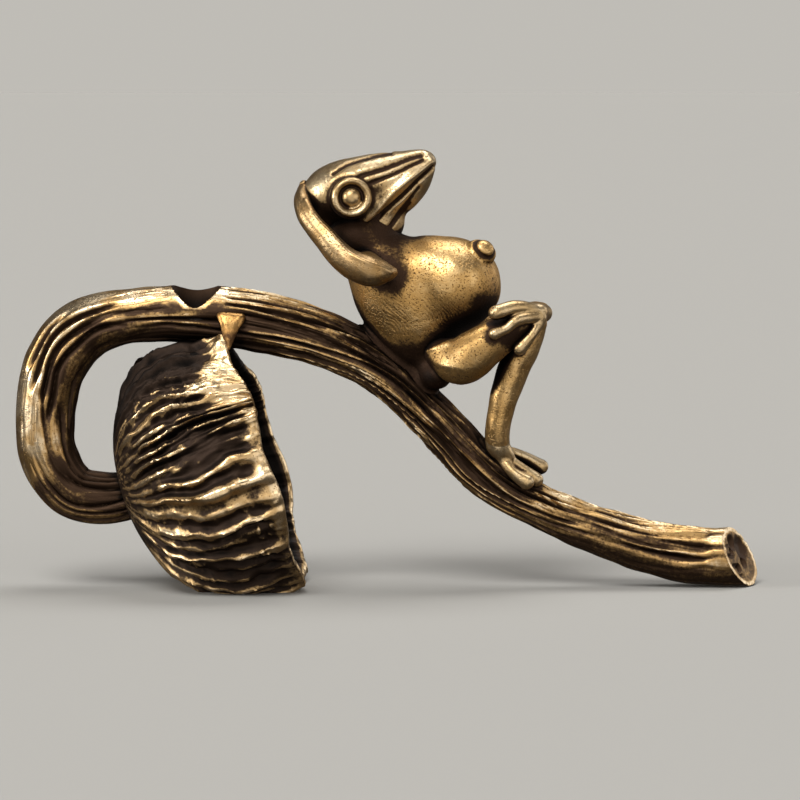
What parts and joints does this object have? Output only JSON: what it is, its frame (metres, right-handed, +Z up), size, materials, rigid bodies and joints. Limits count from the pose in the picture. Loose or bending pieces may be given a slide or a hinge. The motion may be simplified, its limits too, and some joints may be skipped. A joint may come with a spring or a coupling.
{
  "type": "frog figurine",
  "caption": "Antiqued brass frog lying back on a lotus stem that hooks over its own seed pod, with a drilled hole in the stem for an incense stick.",
  "frame": {"origin": "centre of the footprint's bounding box, on the table that the pod's foot and the stem's tip stand on", "axes": "+X along the stem from the hook to the cut tip, +Y from the side that is usually seen to the far side, +Z up"},
  "size_m": [0.0648, 0.024, 0.0386],
  "materials": {
    "cast_brass": "antiqued: dark patina in the grooves, polished on the high spots",
    "stem_brass": "antiqued: mostly dark patina, with polished ridges",
    "braze": "bare braze metal, orange and satin"
  },
  "bodies": {
    "root": {"stem": "stem_brass", "rim_braze": "braze", "pod_shell": "cast_brass", "seed_plate": "cast_brass", "lotus_seed_01": "cast_brass", "lotus_seed_02": "cast_brass", "lotus_seed_03": "cast_brass", "lotus_seed_04": "cast_brass", "lotus_seed_05": "cast_brass", "lotus_seed_06": "cast_brass", "lotus_seed_07": "cast_brass", "lotus_seed_08": "cast_brass", "lotus_seed_09": "cast_brass", "lotus_seed_10": "cast_brass", "lotus_seed_11": "cast_brass", "lotus_seed_12": "cast_brass", "lotus_seed_13": "cast_brass", "lotus_seed_14": "cast_brass", "frog_torso": "cast_brass", "frog_head": "cast_brass", "frog_eye_right": "cast_brass", "frog_eye_left": "cast_brass", "frog_arm_right": "cast_brass", "frog_arm_left": "cast_brass", "frog_thigh_right": "cast_brass", "frog_shin_right": "cast_brass", "frog_foot_right": "cast_brass", "frog_thigh_left": "cast_brass", "frog_shin_left": "cast_brass", "frog_foot_left": "cast_brass"}
  },
  "joints": []
}
